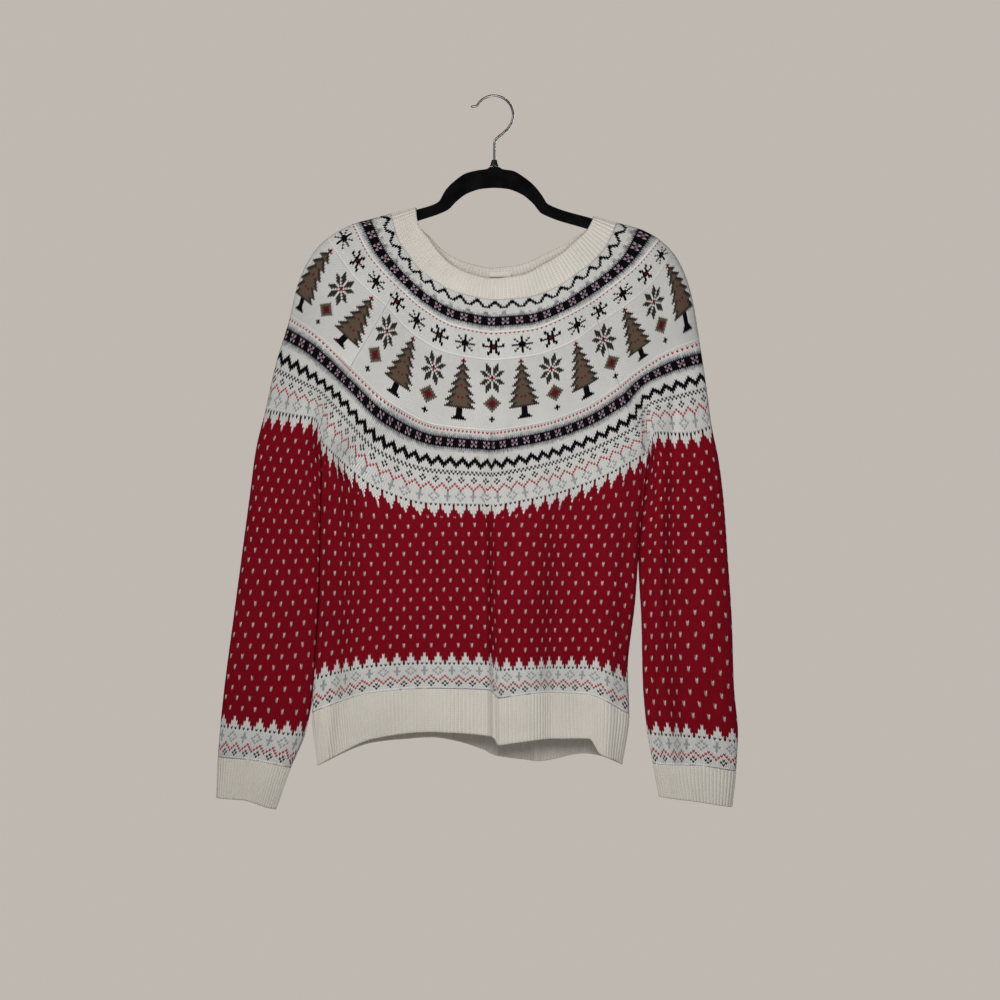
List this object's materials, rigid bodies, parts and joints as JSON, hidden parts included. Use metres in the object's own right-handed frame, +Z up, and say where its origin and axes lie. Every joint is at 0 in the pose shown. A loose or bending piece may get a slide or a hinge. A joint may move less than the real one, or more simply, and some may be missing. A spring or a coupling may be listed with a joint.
{
  "type": "christmas sweater on a clothes hanger",
  "caption": "Long-sleeved knitted sweater with a round patterned yoke and ribbed neck, hem and cuffs, hanging open and hollow on a slim arched hanger with a wire hook.",
  "frame": {"origin": "the inner crest of the hanger's hook, where a rail or wall hook carries it", "axes": "+X across the sweater towards the sleeve on the viewer's right, +Y out through the back, +Z up along the garment"},
  "size_m": [0.652, 0.053, 0.8941],
  "materials": {
    "body_knit": "stranded wool-blend knit, deep red with off-white, black, grey and brown patterning",
    "rib_knit": "cream one-by-one rib knit, slightly fuzzy",
    "label_cloth": "smooth woven satin tape",
    "flock": "black velvet flocking",
    "collar_plastic": "satin moulded",
    "hook_steel": "plated steel wire"
  },
  "bodies": {
    "root": {"front_panel": "body_knit", "back_panel": "body_knit", "sleeve_left": "body_knit", "sleeve_right": "body_knit", "hem_rib_front": "rib_knit", "hem_rib_back": "rib_knit", "cuff_left": "rib_knit", "cuff_right": "rib_knit", "neckband": "rib_knit", "neck_label": "label_cloth", "hanger_body": "flock", "hanger_collar": "collar_plastic", "hanger_hook": "hook_steel"}
  },
  "joints": []
}
